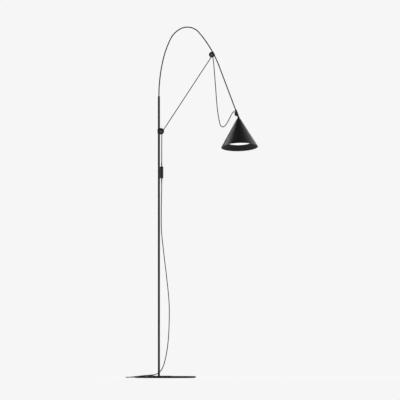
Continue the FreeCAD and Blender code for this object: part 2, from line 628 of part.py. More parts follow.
def make_coil():
    frame = Placement(COIL_CENTRE, Rotation())
    top = "coil_rise + coil_tall"
    near, far = "coil_radius - coil_half_wide", "coil_radius + coil_half_wide"
    turned("cord_coil", [
        (near, "coil_rise", "cord_radius"), (far, "coil_rise", "cord_radius"),
        (far, top, "cord_radius"), (near, top, "cord_radius")], frame)
    wide = "coil_half_wide * 2 + (tie_wall + tie_slack) * 2"
    around = box("tie_outside", wide, "tie_wide", top + " + tie_slack / 2 + tie_wall")
    inside = box("tie_inside", "coil_half_wide * 2 + tie_slack * 2", "tie_wide + 2", "coil_tall + tie_slack",
                 Placement(Vector(size("tie_wall"), -1, size("coil_rise") - size("tie_slack") / 2), Rotation()))
    aside = number(far) + size("tie_wall") + size("tie_slack")
    corner = COIL_CENTRE - Vector(aside, size("tie_wide") / 2, 0)
    keep(cut("tie_cut", around, inside), "coil_tie", Placement(corner, Rotation()))


def make_plug():
    corner = PLUG_CENTRE - Vector(size("plug_long"), size("plug_wide"), size("plug_tall")) / 2
    plain = box("plug_block", "plug_long", "plug_wide", "plug_tall")
    tall_edges = [index for index, edge in enumerate(plain.Shape.Edges, start=1)
                  if abs(edge.tangentAt(edge.FirstParameter).z) < 0.01
                  and abs(edge.tangentAt(edge.FirstParameter).x) > 0.99]
    soft = rounded_edges("plug_soft", plain, tall_edges, size("plug_round"))
    keep(soft, "plug_body", Placement(corner, Rotation()))
    start = PLUG_CENTRE - Vector(size("plug_long") / 2, 0, 0)
    prongs = []
    for side in (-1, 1):
        place = Placement(Vector(0, side * size("prong_gap") / 2, 0), Rotation(UP, Vector(-1, 0, 0)))
        prongs.append(cylinder("prong_%s" % ("near" if side < 0 else "far"), "prong_radius", "prong_long", place))
    pins = doc.addObject("Part::Compound", "prong_pair")
    pins.Links = prongs
    doc.recompute()
    keep(pins, "plug_pins", Placement(start, Rotation()))
    boot_start = PLUG_CENTRE + Vector(size("plug_long") / 2, 0, 0)
    turned("plug_boot", [
        ("cord_radius", 0), ("plug_boot_base", 0), ("boot_tip", "plug_boot_long"),
        ("cord_radius", "plug_boot_long")], Placement(boot_start, Rotation(UP, Vector(1, 0, 0))))


def make_cords():
    cord("taut_cable", TAUT_ROUTE)
    cord("jumper_cord", JUMPER_ROUTE)
    cord("lead_upper", LEAD_ABOVE_DIMMER)
    cord("lead_middle", LEAD_BELOW_DIMMER)
    cord("lead_lower", LEAD_TO_FLOOR)
    cord("lead_end", LEAD_TO_PLUG)


def build():
    fill_sheet()
    make_base()
    make_pole()
    edges, clamp_place, clamp_heading, last_point, neck_top, rod_heading = rod_course()
    neck_middle = neck_top + rod_heading * (size("neck_long") / 2 - size("neck_overhang"))
    side = turn_right(rod_heading, -90.0)
    neck = frame_at(neck_middle - side * size("neck_offset"), FRONT, side)
    make_rod(edges, last_point, neck_top + rod_heading * size("rod_in_neck"))

    low_frame = frame_at(LOWER_CLAMP, FRONT, Vector(-1, 0, 0))
    low_sizes = ("low_disc", "low_half", "low_offset", "low_sleeve", "low_sleeve_long")
    make_clamp("pole_clamp", low_frame, low_sizes, "pole_radius", [
        socket("low_socket_taut", low_frame, TAUT_ROUTE, True),
        socket("low_socket_lead", low_frame, LEAD_ABOVE_DIMMER, True)])

    clamp_side = turn_right(clamp_heading, -90.0)
    top_frame = frame_at(clamp_place - clamp_side * size("top_offset"), FRONT, clamp_side)
    top_sizes = ("top_disc", "top_half", "top_offset", "top_sleeve", "top_sleeve_long")
    make_clamp("rod_clamp", top_frame, top_sizes, "rod_radius", [
        socket("top_socket_taut", top_frame, TAUT_ROUTE, False),
        socket("top_socket_jumper", top_frame, JUMPER_ROUTE, True)])

    make_neck(neck)
    pivot = neck_top + rod_heading * size("pivot_below")
    head_axis = Vector(HEAD_AXIS).normalize()
    pin_axis = rod_heading.cross(head_axis).normalize()
    make_stem(rod_heading, pivot, pin_axis)
    make_knuckle(frame_at(pivot, head_axis * -1, pin_axis))
    rim = pivot + head_axis * (size("pivot_rise") + size("shade_tall"))
    make_shade(frame_at(rim, head_axis * -1, pin_axis))
    make_dimmer()
    make_cords()
    make_coil()
    make_plug()
    doc.recompute()
    for name, vector in (("rod clamp", top_frame.Base), ("clamp heading", clamp_heading), ("neck", neck.Base),
                         ("rod end heading", rod_heading), ("tilt pivot", pivot), ("tilt axis", pin_axis),
                         ("rim middle", rim), ("head axis", head_axis)):
        print("%s: %.3f %.3f %.3f" % ((name,) + tuple(vector)))


def write_parts():
    for item in doc.Objects:
        if "Invalid" in item.State or "Error" in item.State:
            raise ValueError("%s is in state %s" % (item.Label, item.State))
    for part in subparts:
        if part.Shape.isNull() or not part.Shape.isValid():
            raise ValueError("%s has no valid shape" % part.Label)
    os.makedirs(PARTS_FOLDER, exist_ok=True)
    for part in subparts:
        part.Shape.exportStep("%s/%s.step" % (PARTS_FOLDER, part.Label))
    print("%d parts written" % len(subparts))


build()
write_parts()
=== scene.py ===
"""The looks of an arc floor lamp with a bent rod, a cable strut, a cone shade and a mains lead."""

import math

import bpy
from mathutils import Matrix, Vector


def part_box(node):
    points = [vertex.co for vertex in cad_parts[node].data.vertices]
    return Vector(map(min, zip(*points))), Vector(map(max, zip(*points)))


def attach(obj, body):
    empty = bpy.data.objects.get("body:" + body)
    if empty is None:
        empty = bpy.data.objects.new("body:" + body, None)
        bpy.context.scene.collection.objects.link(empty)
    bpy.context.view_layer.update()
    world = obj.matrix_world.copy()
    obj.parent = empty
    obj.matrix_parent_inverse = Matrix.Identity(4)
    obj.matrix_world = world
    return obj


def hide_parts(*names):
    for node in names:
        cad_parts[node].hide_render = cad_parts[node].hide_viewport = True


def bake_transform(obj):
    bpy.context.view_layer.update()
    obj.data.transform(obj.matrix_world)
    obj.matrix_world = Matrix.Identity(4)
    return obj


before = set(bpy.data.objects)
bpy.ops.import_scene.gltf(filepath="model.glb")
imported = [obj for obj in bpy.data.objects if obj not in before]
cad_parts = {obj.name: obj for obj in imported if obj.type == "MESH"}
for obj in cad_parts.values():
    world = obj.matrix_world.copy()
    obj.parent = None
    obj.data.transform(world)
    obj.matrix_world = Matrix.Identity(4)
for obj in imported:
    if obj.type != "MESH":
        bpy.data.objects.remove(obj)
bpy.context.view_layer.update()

# Cords. The routes follow the CAD tubes' points, in metres, on the lamp's own axes, with moves of under
# 2 mm where the lead comes down to the floor.
CORD_DIAMETER = 0.005
SPLINE_STEPS = 8
TUBE_SIDES = 14

TAUT_ROUTE = [
    (0.0220, 0.0, 1.3716), (0.0385, 0.0, 1.3967), (0.2755, 0.0, 1.7578), (0.2920, 0.0, 1.7829),
]
JUMPER_ROUTE = [
    (0.2986, 0.0, 1.7854), (0.3003, 0.0, 1.7740), (0.3030, 0.0, 1.7540), (0.3064, 0.0, 1.7180),
    (0.3105, 0.0, 1.6640), (0.3150, 0.0, 1.6080), (0.3190, 0.0, 1.5520), (0.3233, 0.0, 1.5010),
    (0.3292, 0.0, 1.4560), (0.3360, 0.0, 1.4205), (0.3403, 0.0, 1.4025), (0.3490, 0.0, 1.3940),
    (0.3590, 0.0, 1.3925), (0.3695, 0.0, 1.4015), (0.3795, 0.0, 1.4170), (0.3905, 0.0, 1.4370),
    (0.4012, 0.0, 1.4595), (0.4079, 0.0, 1.4705), (0.4120, 0.0, 1.4761), (0.4147, 0.0, 1.4776),
    (0.4178, 0.0, 1.4775), (0.4205, 0.0, 1.4760), (0.4236, 0.0, 1.4701),
]
LEAD_DOWN = [
    (0.0159, 0.0, 1.3590), (0.0159, 0.0, 1.3400), (0.0159, -0.0015, 1.3040), (0.0157, -0.0045, 1.2580),
    (0.0155, -0.0066, 1.2220), (0.0155, -0.0070, 1.1980), (0.0155, -0.0070, 1.1745),
    (0.0155, -0.0070, 1.1055), (0.0155, -0.0070, 1.0820), (0.0152, -0.0069, 1.0440),
    (0.0144, -0.0064, 1.0000), (0.0134, -0.0056, 0.9500), (0.0129, -0.0038, 0.9000),
    (0.0132, -0.0010, 0.8500), (0.0150, 0.0030, 0.8000), (0.0207, 0.0090, 0.7480),
    (0.0263, 0.0170, 0.6980), (0.0321, 0.0270, 0.6480), (0.0384, 0.0390, 0.5980),
    (0.0440, 0.0520, 0.5460), (0.0500, 0.0660, 0.4940), (0.0550, 0.0800, 0.4420),
    (0.0578, 0.0930, 0.3900), (0.0576, 0.1050, 0.3380), (0.0565, 0.1150, 0.2860),
    (0.0540, 0.1220, 0.2340), (0.0495, 0.1270, 0.1840), (0.0425, 0.1300, 0.1360),
    (0.0340, 0.1320, 0.0960), (0.0230, 0.1335, 0.0580), (0.0060, 0.1340, 0.0310),
    (-0.0170, 0.1340, 0.0182), (-0.0440, 0.1340, 0.0144), (-0.0740, 0.1360, 0.0130),
    (-0.1060, 0.1430, 0.0092), (-0.1380, 0.1540, 0.0052), (-0.1650, 0.1670, 0.0029),
    (-0.1820, 0.1830, 0.0026), (-0.1840, 0.2040, 0.0026), (-0.1690, 0.2220, 0.0026),
    (-0.1400, 0.2340, 0.0026), (-0.1030, 0.2430, 0.0027), (-0.0620, 0.2490, 0.0030),
    (-0.0200, 0.2510, 0.0033), (0.0160, 0.2510, 0.0033),
]
LEAD_TO_PLUG = [
    (0.0280, 0.1810, 0.0083), (0.0140, 0.1816, 0.0081), (0.0, 0.1840, 0.0073),
    (-0.0130, 0.1860, 0.00685), (-0.0260, 0.1860, 0.00685),
]

# The put-away coil: three turns inward on the floor, then two and a half outward on top of them. Each ring
# passes to the next in EASE_LENGTH of a turn.
COIL_CENTRE = Vector((0.035, 0.216, 0.0))
RING_RADII = (0.035, 0.030, 0.025, 0.025, 0.030, 0.035)
LAYER_HEIGHTS = (0.0033, 0.0083)
POINTS_PER_TURN = 16
TURNS = 5.5
EASE_LENGTH = 0.25

# The picture: where it is centred, how tall it is, and the camera's angle above the horizon.
PICTURE_CENTRE = Vector((0.228, 0.0, 0.9875))
PICTURE_SIZE = 2.22
CAMERA_ELEVATION = math.radians(0.4)
CAMERA_DISTANCE = 20.0

# The room: the tone the camera sees behind the lamp, the side its light comes from, and the light's strength
# at places from the opposite side (0) to the bright side (1).
BACKDROP_TONE = 0.9216
BRIGHT_SIDE = Vector((0.75, 0.66, 0.05))
ROOM_TONES = ((0.0, 0.08), (0.65, 0.15), (0.85, 0.60), (1.0, 1.15))

# The floor: how far it reaches, its own even tone, and the tone it takes shadows on.
FLOOR_REACH = 24.0
FLOOR_GLOW = 0.898
FLOOR_MATT = 0.09

# The lights: each one's place from the middle of the shade, its width and height, and its power in watts.
LIGHTS = {
    "left_softbox": (Vector((-1.25, 1.1, 1.05)), 0.8, 1.4, 6.5),
    "right_strip": (Vector((1.7, 0.7, 0.1)), 0.35, 1.8, 7.0),
}

# Textures: the stretch that a noise's values mostly keep to, and the pale colours that lie on the finishes.
NOISE_LOW, NOISE_HIGH = 0.3, 0.7
DUST = (0.32, 0.31, 0.29)
BLOOM = (0.25, 0.24, 0.23)

# Edges steeper than this stay sharp on turned bodies.
SHARP_ANGLE = math.radians(32)


def smoothstep(value):
    """0 up to 0, 1 from 1, and an even ease between."""
    held = min(1.0, max(0.0, value))
    return held * held * (3 - 2 * held)


def camera():
    data = bpy.data.cameras.new("camera")
    data.type = "ORTHO"
    data.ortho_scale = PICTURE_SIZE
    data.clip_end = 100.0
    seen_from = Vector((0.0, -math.cos(CAMERA_ELEVATION), math.sin(CAMERA_ELEVATION)))
    eye = bpy.data.objects.new("camera", data)
    eye.location = PICTURE_CENTRE + seen_from * CAMERA_DISTANCE
    eye.rotation_euler = (-seen_from).to_track_quat("-Z", "Y").to_euler()
    bpy.context.scene.collection.objects.link(eye)
    bpy.context.scene.camera = eye


def softbox(name, place, aim, width, height, power):
    """A soft area light at place, turned towards aim, that no camera sees."""
    data = bpy.data.lights.new(name, "AREA")
    data.shape = "RECTANGLE"
    data.size = width
    data.size_y = height
    data.energy = power
    light = bpy.data.objects.new(name, data)
    light.location = place
    light.rotation_euler = (Vector(aim) - Vector(place)).to_track_quat("-Z", "Y").to_euler()
    light.visible_camera = False
    bpy.context.scene.collection.objects.link(light)


def studio():
    """A pale room, brightest behind the lamp on its right, with a soft light on each side."""
    scene = bpy.context.scene
    scene.view_settings.view_transform = "Standard"
    world = bpy.data.worlds.new("studio")
    scene.world = world
    world.use_nodes = True
    tree = world.node_tree
    tree.nodes.clear()
    direction = tree.nodes.new("ShaderNodeTexCoord")
    towards = tree.nodes.new("ShaderNodeVectorMath")
    towards.operation = "DOT_PRODUCT"
    towards.inputs[1].default_value = BRIGHT_SIDE
    tree.links.new(direction.outputs["Generated"], towards.inputs[0])
    ramp = tree.nodes.new("ShaderNodeValToRGB")
    while len(ramp.color_ramp.elements) < len(ROOM_TONES):
        ramp.color_ramp.elements.new(0.5)
    for element, (place, tone) in zip(ramp.color_ramp.elements, ROOM_TONES):
        element.position = place
        element.color = (tone, tone, tone, 1.0)
    spread = tree.nodes.new("ShaderNodeMapRange")
    spread.inputs["From Min"].default_value = -1.0
    tree.links.new(towards.outputs["Value"], spread.inputs["Value"])
    tree.links.new(spread.outputs["Result"], ramp.inputs[0])
    lighting = tree.nodes.new("ShaderNodeBackground")
    tree.links.new(ramp.outputs["Color"], lighting.inputs["Color"])
    backdrop = tree.nodes.new("ShaderNodeBackground")
    backdrop.inputs["Color"].default_value = (BACKDROP_TONE, BACKDROP_TONE, BACKDROP_TONE, 1.0)
    seen = tree.nodes.new("ShaderNodeLightPath")
    choice = tree.nodes.new("ShaderNodeMixShader")
    tree.links.new(seen.outputs["Is Camera Ray"], choice.inputs[0])
    tree.links.new(lighting.outputs[0], choice.inputs[1])
    tree.links.new(backdrop.outputs[0], choice.inputs[2])
    output = tree.nodes.new("ShaderNodeOutputWorld")
    tree.links.new(choice.outputs[0], output.inputs["Surface"])

    shade_low, shade_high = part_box("shade_cone")
    shade = (shade_low + shade_high) / 2
    for name, (offset, width, height, power) in LIGHTS.items():
        softbox(name, shade + offset, shade, width, height, power)


def floor():
    """The pale floor the lamp stands on: an even tone that takes a faint contact shadow."""
    mesh = bpy.data.meshes.new("floor")
    signs = ((-1, -1), (1, -1), (1, 1), (-1, 1))
    corners = [(x * FLOOR_REACH, y * FLOOR_REACH, 0.0) for x, y in signs]
    mesh.from_pydata(corners, [], [(0, 1, 2, 3)])
    plane = bpy.data.objects.new("floor", mesh)
    bpy.context.scene.collection.objects.link(plane)
    material = bpy.data.materials.new("floor_paper")
    material.use_nodes = True
    tree = material.node_tree
    tree.nodes.clear()
    glow = tree.nodes.new("ShaderNodeEmission")
    glow.inputs["Color"].default_value = (FLOOR_GLOW, FLOOR_GLOW, FLOOR_GLOW, 1.0)
    matt = tree.nodes.new("ShaderNodeBsdfDiffuse")
    matt.inputs["Color"].default_value = (FLOOR_MATT, FLOOR_MATT, FLOOR_MATT, 1.0)
    both = tree.nodes.new("ShaderNodeAddShader")
    tree.links.new(glow.outputs[0], both.inputs[0])
    tree.links.new(matt.outputs[0], both.inputs[1])
    output = tree.nodes.new("ShaderNodeOutputMaterial")
    tree.links.new(both.outputs[0], output.inputs["Surface"])
    mesh.materials.append(material)


# Materials: each is a Principled shader whose colour, roughness and relief come from textures.
LOOK = "_look"


class Finish:
    """A material under construction, in the lamp's own coordinates."""

    def __init__(self, name):
        self.material = bpy.data.materials.new(name + LOOK)
        self.material.use_nodes = True
        self.tree = self.material.node_tree
        self.shader = self.tree.nodes["Principled BSDF"]
        self.place = self.tree.nodes.new("ShaderNodeTexCoord").outputs["Object"]

    def link(self, output, socket):
        self.tree.links.new(output, socket)

    def stretched(self, scales):
        """The coordinates, squeezed by a factor along each axis."""
        mapping = self.tree.nodes.new("ShaderNodeMapping")
        mapping.inputs["Scale"].default_value = scales
        self.link(self.place, mapping.inputs["Vector"])
        return mapping.outputs["Vector"]

    def noise(self, scale, detail=3.0, vector=None):
        texture = self.tree.nodes.new("ShaderNodeTexNoise")
        texture.inputs["Scale"].default_value = scale
        texture.inputs["Detail"].default_value = detail
        self.link(vector or self.place, texture.inputs["Vector"])
        return texture.outputs["Fac"]

    def spots(self, scale):
        texture = self.tree.nodes.new("ShaderNodeTexVoronoi")
        texture.inputs["Scale"].default_value = scale
        self.link(self.place, texture.inputs["Vector"])
        return texture.outputs["Distance"]

    def ranged(self, value, low, high, start=NOISE_LOW, end=NOISE_HIGH):
        """value's middle stretch, spread from low to high."""
        spread = self.tree.nodes.new("ShaderNodeMapRange")
        spread.inputs["From Min"].default_value = start
        spread.inputs["From Max"].default_value = end
        spread.inputs["To Min"].default_value = low
        spread.inputs["To Max"].default_value = high
        self.link(value, spread.inputs["Value"])
        return spread.outputs["Result"]

    def colours(self, value, dark, light):
        ramp = self.tree.nodes.new("ShaderNodeValToRGB")
        ends = ramp.color_ramp.elements
        ends[0].position, ends[1].position = NOISE_LOW, NOISE_HIGH
        ends[0].color = (*dark, 1.0)
        ends[1].color = (*light, 1.0)
        self.link(value, ramp.inputs[0])
        return ramp.outputs["Color"]

    def mixed(self, share, first, second):
        """first where share is 0 and the plain colour second where it is 1."""
        mix = self.tree.nodes.new("ShaderNodeMix")
        mix.data_type = "RGBA"
        self.link(share, mix.inputs["Factor"])
        self.link(first, mix.inputs["A"])
        mix.inputs["B"].default_value = (*second, 1.0)
        return mix.outputs["Result"]

    def facing_up(self):
        """1 on surfaces that face up and 0 on those that don't."""
        normal = self.tree.nodes.new("ShaderNodeNewGeometry").outputs["Normal"]
        parts = self.tree.nodes.new("ShaderNodeSeparateXYZ")
        self.link(normal, parts.inputs[0])
        return self.ranged(parts.outputs["Z"], 0.0, 1.0, 0.5, 0.95)

    def product(self, first, second):
        times = self.tree.nodes.new("ShaderNodeMath")
        times.operation = "MULTIPLY"
        self.link(first, times.inputs[0])
        self.link(second, times.inputs[1])
        return times.outputs[0]

    def relief(self, height, depth, strength):
        bump = self.tree.nodes.new("ShaderNodeBump")
        bump.inputs["Strength"].default_value = strength
        bump.inputs["Distance"].default_value = depth
        self.link(height, bump.inputs["Height"])
        self.link(bump.outputs["Normal"], self.shader.inputs["Normal"])

    def set(self, socket, value):
        self.shader.inputs[socket].default_value = value

    def paint(self, socket, output):
        self.link(output, self.shader.inputs[socket])


def scaled(colour, factor):
    return tuple(min(1.0, part * factor) for part in colour)


def powder_coat(name, colour, roughness, grain=1500.0, dust=0.05, gloss=0.5):
    """Baked powder paint: fine orange peel, slow tone changes, and a breath of dust on what faces up."""
    finish = Finish(name)
    tone = finish.colours(finish.noise(7.0), scaled(colour, 0.8), scaled(colour, 1.25))
    film = finish.product(finish.facing_up(), finish.ranged(finish.noise(38.0, 6.0), 0.0, dust))
    finish.paint("Base Color", finish.mixed(film, tone, DUST))
    finish.paint("Roughness", finish.ranged(finish.noise(55.0, 4.0), roughness - 0.04, roughness + 0.05))
    finish.set("Specular IOR Level", gloss)
    finish.relief(finish.noise(grain, 2.0), 0.00006, 0.2)
    return finish.material


def moulded_plastic(name, colour, roughness, grain=2600.0):
    """Injection-moulded plastic from a spark-eroded tool."""
    finish = Finish(name)
    finish.paint("Base Color", finish.colours(finish.noise(60.0), scaled(colour, 0.82), scaled(colour, 1.22)))
    finish.paint("Roughness", finish.ranged(finish.noise(180.0), roughness - 0.05, roughness + 0.05))
    finish.relief(finish.spots(grain), 0.00005, 0.4)
    return finish.material


def rubber(name, colour, roughness, grain=1800.0):
    """Soft black rubber or PVC, a little chalky in places."""
    finish = Finish(name)
    bloom = finish.ranged(finish.noise(24.0, 5.0), 0.0, 0.07, 0.45, 0.75)
    tone = finish.colours(finish.noise(130.0), scaled(colour, 0.85), scaled(colour, 1.2))
    finish.paint("Base Color", finish.mixed(bloom, tone, BLOOM))
    finish.paint("Roughness", finish.ranged(finish.noise(300.0), roughness - 0.07, roughness + 0.06))
    finish.relief(finish.noise(grain, 3.0), 0.00008, 0.45)
    return finish.material


def bare_metal(name, colour, roughness, squeeze=(1.0, 1.0, 30.0)):
    """Turned or drawn metal with fine tool marks."""
    finish = Finish(name)
    streaks = finish.noise(260.0, 4.0, finish.stretched(squeeze))
    finish.set("Metallic", 1.0)
    finish.paint("Base Color", finish.colours(streaks, scaled(colour, 0.85), scaled(colour, 1.1)))
    finish.paint("Roughness", finish.ranged(finish.noise(70.0), roughness - 0.06, roughness + 0.08))
    finish.relief(streaks, 0.00004, 0.3)
    return finish.material


def glass_fibre(name, colour):
    """A pultruded rod: glossy resin over fine lengthwise fibres."""
    finish = Finish(name)
    fibres = finish.noise(900.0, 3.0, finish.stretched((1.0, 1.0, 0.03)))
    finish.paint("Base Color", finish.colours(fibres, scaled(colour, 0.6), scaled(colour, 1.5)))
    finish.paint("Roughness", finish.ranged(finish.noise(90.0), 0.27, 0.38))
    finish.set("Coat Weight", 0.25)
    finish.set("Coat Roughness", 0.2)
    finish.relief(fibres, 0.00003, 0.3)
    return finish.material


def opal(name):
    """The lit opal diffuser: satin white acrylic with a fine prismatic grain."""
    finish = Finish(name)
    finish.paint("Base Color", finish.colours(finish.noise(45.0), (0.86, 0.86, 0.84), (0.95, 0.95, 0.93)))
    finish.paint("Roughness", finish.ranged(finish.noise(200.0), 0.42, 0.55))
    finish.set("Emission Color", (1.0, 0.98, 0.94, 1.0))
    finish.set("Emission Strength", 0.38)
    finish.relief(finish.spots(900.0), 0.0001, 0.3)
    return finish.material


def circuit_board(name, colour):
    """Solder-masked board: a slight weave under the varnish."""
    finish = Finish(name)
    weave = finish.spots(1400.0)
    finish.paint("Base Color", finish.colours(finish.noise(150.0), scaled(colour, 0.8), scaled(colour, 1.15)))
    finish.paint("Roughness", finish.ranged(finish.noise(90.0), 0.3, 0.42))
    finish.relief(weave, 0.00005, 0.3)
    return finish.material


def strap_web(name, colour):
    """Hook-and-loop strap: a dense pile of short loops."""
    finish = Finish(name)
    pile = finish.spots(2400.0)
    finish.paint("Base Color", finish.colours(pile, scaled(colour, 0.6), scaled(colour, 1.7)))
    finish.paint("Roughness", finish.ranged(finish.noise(500.0), 0.8, 0.95))
    finish.set("Sheen Weight", 0.3)
    finish.relief(pile, 0.0003, 0.8)
    return finish.material


BLACK = (0.0105, 0.0105, 0.0110)
SOFT_BLACK = (0.0140, 0.0138, 0.0135)
STEEL = (0.56, 0.57, 0.58)


def finishes():
    """One material for each of the record's slots."""
    made = [
        powder_coat("base_coat", (0.0065, 0.0065, 0.0068), 0.52, gloss=0.15),
        powder_coat("pole_coat", BLACK, 0.36, grain=1700.0, dust=0.02),
        powder_coat("shade_coat", BLACK, 0.34, grain=1700.0, dust=0.02),
        powder_coat("joint_coat", BLACK, 0.40, grain=2200.0, dust=0.02),
        powder_coat("glare_black", (0.006, 0.006, 0.006), 0.72, grain=2400.0, dust=0.0, gloss=0.2),
        moulded_plastic("clamp_plastic", SOFT_BLACK, 0.44),
        moulded_plastic("knob_plastic", (0.020, 0.020, 0.020), 0.36),
        moulded_plastic("bush_plastic", (0.02, 0.02, 0.02), 0.5),
        moulded_plastic("dimmer_plastic", SOFT_BLACK, 0.38),
        moulded_plastic("button_plastic", (0.022, 0.022, 0.023), 0.3, grain=3400.0),
        moulded_plastic("plug_plastic", SOFT_BLACK, 0.46),
        moulded_plastic("white_plastic", (0.82, 0.82, 0.80), 0.45),
        rubber("pad_rubber", (0.018, 0.018, 0.018), 0.78),
        rubber("liner_rubber", (0.015, 0.015, 0.015), 0.7),
        rubber("boot_rubber", (0.013, 0.013, 0.013), 0.55),
        rubber("cord_sheath", (0.012, 0.012, 0.012), 0.48, grain=2600.0),
        bare_metal("steel", STEEL, 0.34),
        bare_metal("brass", (0.72, 0.52, 0.24), 0.3),
        bare_metal("joint_metal", (0.035, 0.035, 0.037), 0.34),
        bare_metal("plug_metal", (0.70, 0.69, 0.66), 0.24, squeeze=(40.0, 1.0, 1.0)),
        bare_metal("heat_sink_alu", (0.74, 0.75, 0.76), 0.4),
        glass_fibre("rod_glassfibre", BLACK),
        opal("diffuser_white"),
        circuit_board("board_green", (0.02, 0.13, 0.05)),
        circuit_board("board_white", (0.80, 0.80, 0.78)),
        strap_web("tie_band", (0.016, 0.016, 0.017)),
    ]
    return {material.name.removesuffix(LOOK): material for material in made}


def dress_nodes(slots):
    """Gives every CAD node the material of its slot."""
    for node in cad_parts.values():
        for place in node.material_slots:
            name = place.material.name.split(".")[0]
            place.material = slots[name]


def piece(name, data, slot_name, slots, body=None):
    """A new object in the scene with its slot's material, on a body if one is given."""
    made = bpy.data.objects.new(name, data)
    bpy.context.scene.collection.objects.link(made)
    data.materials.append(slots[slot_name])
    if body:
        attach(made, body)
    return made


def meshed(name, points, faces, smooth=True):
    mesh = bpy.data.meshes.new(name)
    mesh.from_pydata([tuple(point) for point in points], [], faces)
    mesh.update()
    if smooth:
        mesh.shade_smooth()
    return mesh


def ring_faces(rings, sides):
    """The faces between rings of points that follow one another, and one over each end."""
    faces = []
    for ring in range(rings - 1):
        for side in range(sides):
            next_side = (side + 1) % sides
            low, high = ring * sides, (ring + 1) * sides
            faces.append((low + side, low + next_side, high + next_side, high + side))
    faces.append(tuple(reversed(range(sides))))
    faces.append(tuple(range((rings - 1) * sides, rings * sides)))
    return faces


# Cords


def route_curve(name, route, thick):
    """A curve of one open NURBS spline with the route's points as its control points."""
    curve = bpy.data.curves.new(name, "CURVE")
    curve.dimensions = "3D"
    curve.resolution_u = SPLINE_STEPS
    spline = curve.splines.new("NURBS")
    spline.points.add(len(route) - 1)
    for point, place in zip(spline.points, route):
        point.co = (*place, 1.0)
    spline.order_u = 3
    spline.use_endpoint_u = True
    if thick:
        curve.bevel_depth = CORD_DIAMETER / 2
        curve.bevel_resolution = 5
        curve.use_fill_caps = True
    return curve


def spline_points(route):
    """The points of the route's NURBS spline, close together."""
    line = bpy.data.objects.new("lead_line", route_curve("lead_line", route, False))
    bpy.context.scene.collection.objects.link(line)
    bpy.context.view_layer.update()
    mesh = bpy.data.meshes.new_from_object(line)
    points = [vertex.co.copy() for vertex in mesh.vertices]
    bpy.data.objects.remove(line)
    bpy.data.meshes.remove(mesh)
    return points


def tube(name, path, radius, sides):
    """A closed round tube along path, its rings carried along without twist."""
    heading = (path[1] - path[0]).normalized()
    across = heading.orthogonal().normalized()
    points = []
    for index, place in enumerate(path):
        before = path[max(index - 1, 0)]
        after = path[min(index + 1, len(path) - 1)]
        new_heading = (after - before).normalized()
        across.rotate(heading.rotation_difference(new_heading))
        heading = new_heading
        beside = heading.cross(across)
        for side in range(sides):
            turn = 2 * math.pi * side / sides
            points.append(place + (across * math.cos(turn) + beside * math.sin(turn)) * radius)
    return meshed(name, points, ring_faces(len(path), sides))


def coil_points():
    """The coil's turns, clockwise seen from above, from the far side to the near side."""
    spline_gap = 1 / math.cos(math.pi / POINTS_PER_TURN)
    points = []
    for step in range(int(TURNS * POINTS_PER_TURN) + 1):
        turn, share = divmod(step / POINTS_PER_TURN, 1.0)
        turn = int(turn)
        on_top = turn >= len(RING_RADII) / 2
        start_of_ease = 0.5 if on_top else 0.75
        ease = smoothstep((share - start_of_ease) / EASE_LENGTH)
        here = RING_RADII[turn]
        following = RING_RADII[min(turn + 1, len(RING_RADII) - 1)]
        radius = (here + (following - here) * ease) * spline_gap
        low, high = LAYER_HEIGHTS
        climbing = turn == len(RING_RADII) // 2 - 1
        height = high if on_top else low + (high - low) * (ease if climbing else 0.0)
        angle = math.pi / 2 - 2 * math.pi * (turn + share)
        place = Vector((math.cos(angle) * radius, math.sin(angle) * radius, height))
        points.append(tuple(COIL_CENTRE + place))
    return points


def make_cords(slots):
    cable = piece("tension_cable", route_curve("tension_cable", TAUT_ROUTE, True),
                  "cord_sheath", slots, "arm")
    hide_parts("taut_cable")
    jumper = piece("jumper_lead", route_curve("jumper_lead", JUMPER_ROUTE, True), "cord_sheath", slots, "arm")
    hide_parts("jumper_cord")

    path = spline_points(LEAD_DOWN + coil_points() + LEAD_TO_PLUG)
    lead = piece("power_lead", tube("power_lead", path, CORD_DIAMETER / 2, TUBE_SIDES), "cord_sheath", slots)
    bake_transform(lead)
    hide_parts("lead_upper", "lead_middle", "lead_lower", "cord_coil", "lead_end")


# Pieces on the lead


def belt(centres, radius):
    """The line a tight belt takes round circles of one radius, and its outward directions."""
    line = []
    count = len(centres)
    for index, centre in enumerate(centres):
        before, after = centres[index - 1], centres[(index + 1) % count]
        first = math.atan2(centre[1] - before[1], centre[0] - before[0]) - math.pi / 2
        last = math.atan2(after[1] - centre[1], after[0] - centre[0]) - math.pi / 2
        turn = (last - first) % (2 * math.pi)
        steps = 8
        for step in range(steps + 1):
            angle = first + turn * step / steps
            outward = Vector((math.cos(angle), math.sin(angle)))
            line.append((Vector(centre) + outward * radius, outward))
    return line


def strip(line, low, high, centre_y, half_width, closed):
    """A flat strap along line, from low to high outside it, centred on centre_y."""
    points, faces = [], []
    for place, outward in line:
        for offset, side in ((low, -1), (low, 1), (high, 1), (high, -1)):
            spot = place + outward * offset
            points.append((spot.x, centre_y + side * half_width, spot.y))
    count = len(line)
    for index in range(count if closed else count - 1):
        here, there = index * 4, ((index + 1) % count) * 4
        for corner in range(4):
            across = (corner + 1) % 4
            faces.append((here + corner, there + corner, there + across, here + across))
    if not closed:
        faces.append((0, 1, 2, 3))
        faces.append(tuple(reversed(range(len(points) - 4, len(points)))))
    return points, faces


